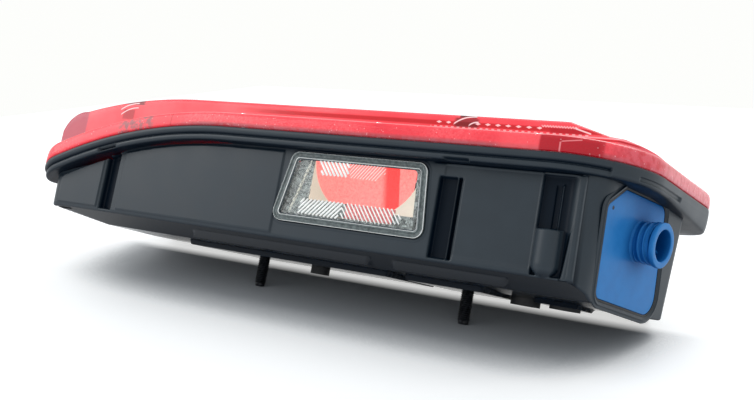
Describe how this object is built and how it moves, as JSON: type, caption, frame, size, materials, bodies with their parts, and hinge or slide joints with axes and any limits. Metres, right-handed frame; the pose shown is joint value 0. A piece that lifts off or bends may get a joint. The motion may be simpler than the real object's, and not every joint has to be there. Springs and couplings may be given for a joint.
{
  "type": "tail light cluster",
  "caption": "Long rear lamp cluster with a domed red lens, a black housing with a number plate window, a blue connector end and mounting studs.",
  "frame": {"origin": "middle between the two mounting studs, on the mounting face", "axes": "+X along the lamp towards its connector end, +Z out through the lens, -Z along the studs, -Y towards the number plate window"},
  "size_m": [0.4341, 0.155, 0.115],
  "materials": {
    "housing": "satin moulded black with a fine grain",
    "red_lens": "clear red, polished",
    "amber_lens": "clear amber, polished",
    "clear_lens": "clear, polished",
    "window": "clear, fluted, with a welded rim",
    "light_box": "pale cream",
    "red_screen": "clear red, with fine prisms",
    "connector": "satin blue",
    "seal": "soft black",
    "screw_steel": "zinc plated",
    "stud_steel": "black oxide",
    "contact_brass": "plain",
    "reflector": "metallised plastic",
    "inner_plastic": "plain",
    "amber_bulb": "lacquered glass",
    "clear_bulb": "clear glass"
  },
  "bodies": {
    "root": {"rear_housing": "housing", "red_lens": "red_lens", "amber_panel": "amber_lens", "clear_panel": "clear_lens", "lens_seal": "seal", "lens_screws": "screw_steel", "number_plate_window": "window", "plate_light_box": "light_box", "light_screen": "red_screen", "connector_plate": "connector", "connector_seal": "seal", "connector_pins": "contact_brass", "stud_left": "stud_steel", "stud_right": "stud_steel", "indicator_reflector": "reflector", "tail_stop_reflector": "reflector", "fog_reverse_reflector": "reflector", "indicator_carrier": "inner_plastic", "tail_stop_carrier": "inner_plastic", "fog_reverse_carrier": "inner_plastic", "indicator_holder": "inner_plastic", "stop_holder": "inner_plastic", "tail_holder": "inner_plastic", "fog_holder": "inner_plastic", "reverse_holder": "inner_plastic", "indicator_bulb": "amber_bulb", "stop_bulb": "clear_bulb", "tail_bulb": "clear_bulb", "fog_bulb": "clear_bulb", "reverse_bulb": "clear_bulb", "contact_strips": "contact_brass", "vent_plug": "seal", "blank_plug": "seal", "cable_boot": "seal"}
  },
  "joints": []
}
